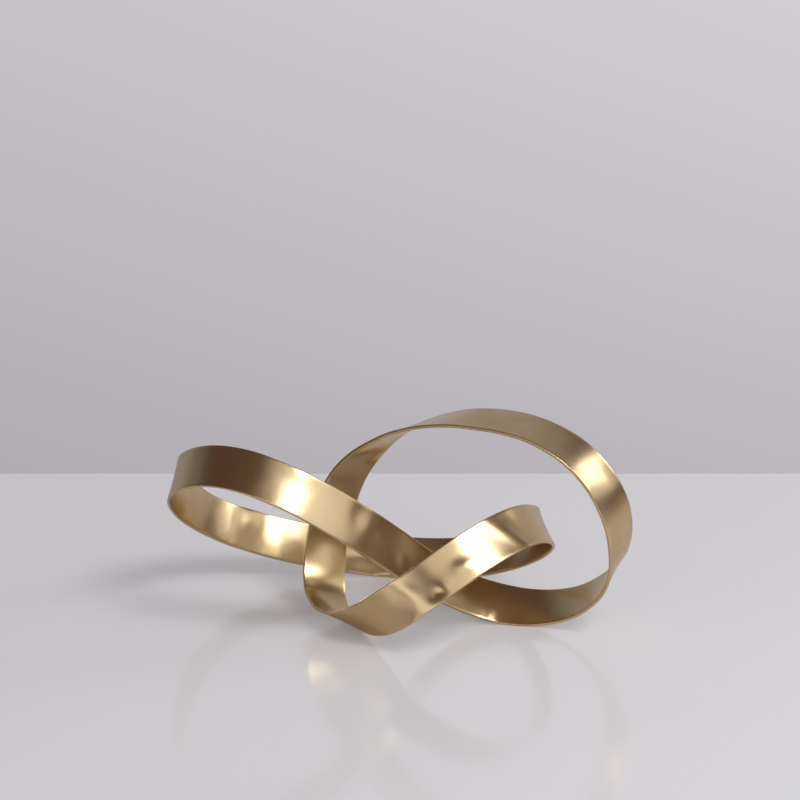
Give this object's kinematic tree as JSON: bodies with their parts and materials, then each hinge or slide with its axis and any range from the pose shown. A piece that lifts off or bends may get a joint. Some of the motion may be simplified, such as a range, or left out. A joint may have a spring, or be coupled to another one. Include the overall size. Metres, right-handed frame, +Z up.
{
  "type": "knot sculpture",
  "caption": "Tabletop sculpture: a flat satin brass strip bent round an open trefoil knot and joined end to end, with a tall ring, a raised side loop and a small front loop.",
  "frame": {"origin": "On the table, under the middle of the band's outline.", "axes": "+X runs from the raised side loop to the tall ring, +Y from the front to the rear run, +Z up."},
  "size_m": [0.328, 0.187, 0.161],
  "materials": {
    "strip": "satin, hand-dressed",
    "seam": "brazed and dressed flush"
  },
  "bodies": {
    "root": {"front_loop_strip": "strip", "left_loop_strip": "strip", "ring_base_strip": "strip", "ring_crown_strip": "strip", "rear_seam": "seam", "shoulder_seam": "seam", "ring_side_seam": "seam", "neck_seam": "seam"}
  },
  "joints": []
}
